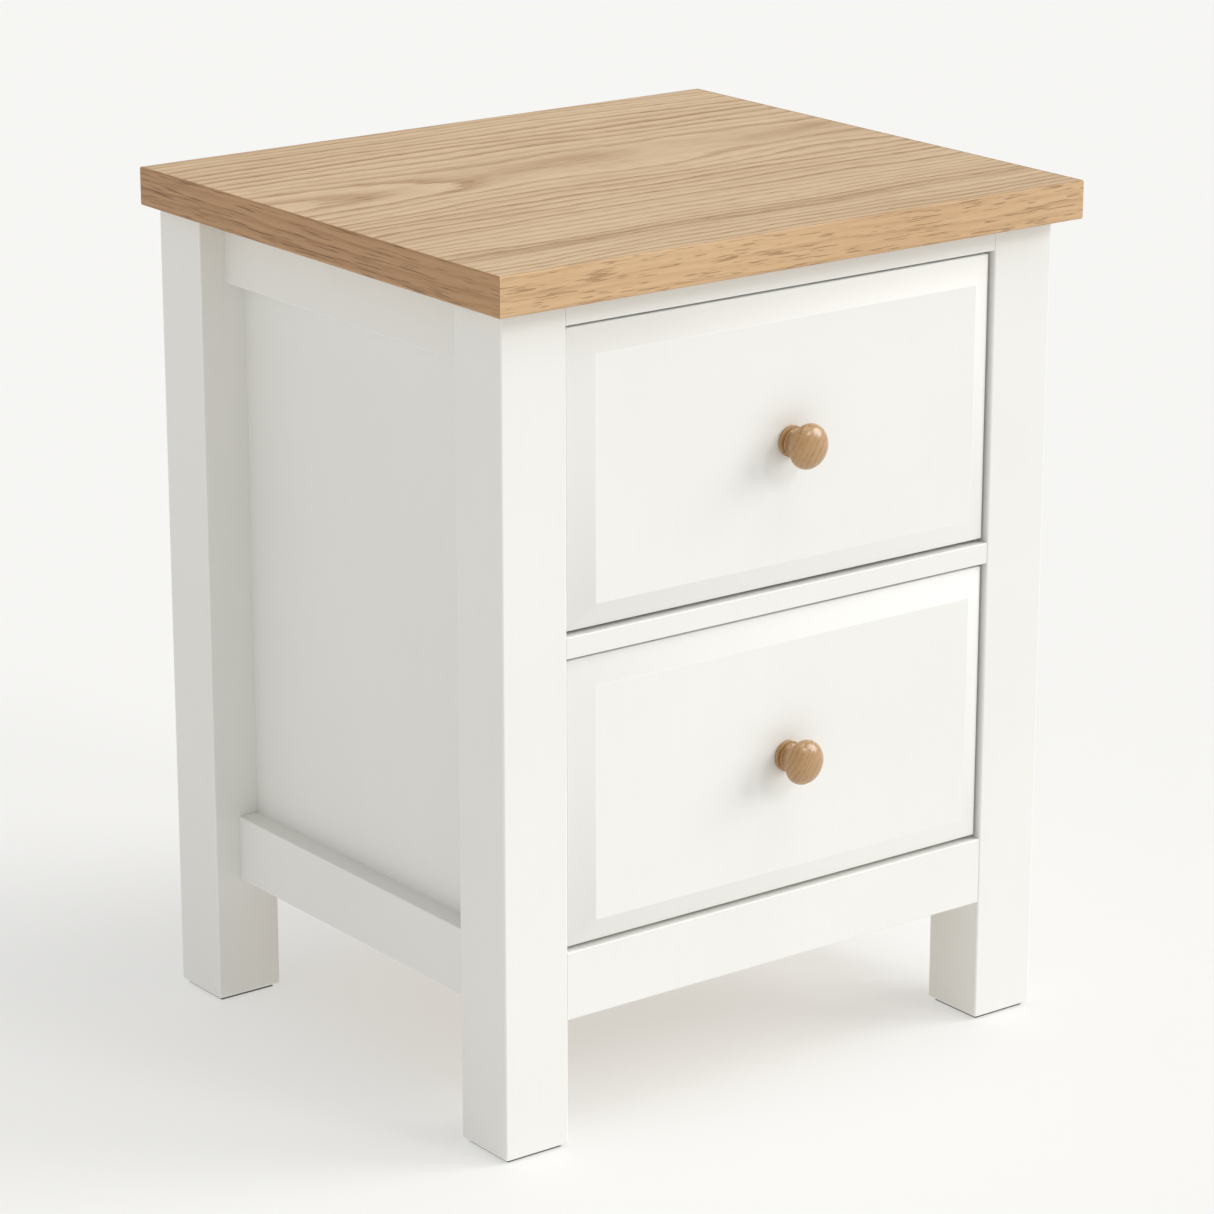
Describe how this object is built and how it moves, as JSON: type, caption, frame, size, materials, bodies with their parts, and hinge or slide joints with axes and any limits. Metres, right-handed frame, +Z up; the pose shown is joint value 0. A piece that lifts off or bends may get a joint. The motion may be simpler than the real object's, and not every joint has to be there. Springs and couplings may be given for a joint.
{
  "type": "nightstand with drawers",
  "caption": "Square-legged bedside cabinet with painted frame and panels, an oak top and inset bevelled drawers with turned oak knobs, on telescopic ball-bearing slides.",
  "frame": {"origin": "on the floor, under the middle of the whole object's plan, knobs included", "axes": "+X to the right for someone who faces the drawers, -Y towards that person, +Z up"},
  "size_m": [0.46, 0.413, 0.57],
  "materials": {
    "oak_top": "satin natural oak",
    "oak_lipping": "satin natural oak, long grain",
    "oak_knob": "lacquered turned oak",
    "painted_wood": "satin off-white paint",
    "drawer_wood": "clear-sealed pale softwood",
    "drawer_ply": "clear-sealed birch plywood",
    "zinc_steel": "bright zinc plate",
    "pad_felt": "pressed felt"
  },
  "bodies": {
    "cabinet": {"top_board": "oak_top", "front_lipping": "oak_lipping", "back_lipping": "oak_lipping", "left_lipping": "oak_lipping", "right_lipping": "oak_lipping", "front_left_leg": "painted_wood", "front_right_leg": "painted_wood", "back_left_leg": "painted_wood", "back_right_leg": "painted_wood", "foot_pads": "pad_felt", "front_top_rail": "painted_wood", "front_middle_rail": "painted_wood", "front_bottom_rail": "painted_wood", "left_top_rail": "painted_wood", "right_top_rail": "painted_wood", "left_bottom_rail": "painted_wood", "right_bottom_rail": "painted_wood", "back_top_rail": "painted_wood", "back_bottom_rail": "painted_wood", "left_panel": "painted_wood", "right_panel": "painted_wood", "back_panel": "painted_wood", "upper_left_batten": "drawer_wood", "upper_right_batten": "drawer_wood", "lower_left_batten": "drawer_wood", "lower_right_batten": "drawer_wood", "upper_left_outer_slide": "zinc_steel", "upper_right_outer_slide": "zinc_steel", "lower_left_outer_slide": "zinc_steel", "lower_right_outer_slide": "zinc_steel", "top_screws": "zinc_steel", "outer_slide_screws": "zinc_steel"},
    "upper_slide_middles": {"upper_left_middle_slide": "zinc_steel", "upper_right_middle_slide": "zinc_steel"},
    "lower_slide_middles": {"lower_left_middle_slide": "zinc_steel", "lower_right_middle_slide": "zinc_steel"},
    "upper_drawer": {"upper_left_inner_slide": "zinc_steel", "upper_right_inner_slide": "zinc_steel", "upper_drawer_front": "painted_wood", "upper_drawer_inner_front": "drawer_wood", "upper_drawer_left_side": "drawer_wood", "upper_drawer_right_side": "drawer_wood", "upper_drawer_back": "drawer_wood", "upper_drawer_bottom": "drawer_ply", "upper_knob": "oak_knob", "upper_knob_screw": "zinc_steel", "upper_front_screws": "zinc_steel", "upper_slide_screws": "zinc_steel"},
    "lower_drawer": {"lower_left_inner_slide": "zinc_steel", "lower_right_inner_slide": "zinc_steel", "lower_drawer_front": "painted_wood", "lower_drawer_inner_front": "drawer_wood", "lower_drawer_left_side": "drawer_wood", "lower_drawer_right_side": "drawer_wood", "lower_drawer_back": "drawer_wood", "lower_drawer_bottom": "drawer_ply", "lower_knob": "oak_knob", "lower_knob_screw": "zinc_steel", "lower_front_screws": "zinc_steel", "lower_slide_screws": "zinc_steel"}
  },
  "joints": [
    {"name": "upper_drawer_slide", "type": "slide", "parent": "cabinet", "child": "upper_drawer", "axis": [0, -1, 0], "range_m": [0, 0.3]},
    {"name": "upper_middle_slide", "type": "slide", "parent": "cabinet", "child": "upper_slide_middles", "axis": [0, -1, 0], "range_m": [0, 0.15]},
    {"name": "lower_drawer_slide", "type": "slide", "parent": "cabinet", "child": "lower_drawer", "axis": [0, -1, 0], "range_m": [0, 0.3]},
    {"name": "lower_middle_slide", "type": "slide", "parent": "cabinet", "child": "lower_slide_middles", "axis": [0, -1, 0], "range_m": [0, 0.15]}
  ],
  "couplings": [
    {"joint": "upper_middle_slide", "follows": "upper_drawer_slide", "ratio": 0.5},
    {"joint": "lower_middle_slide", "follows": "lower_drawer_slide", "ratio": 0.5}
  ]
}
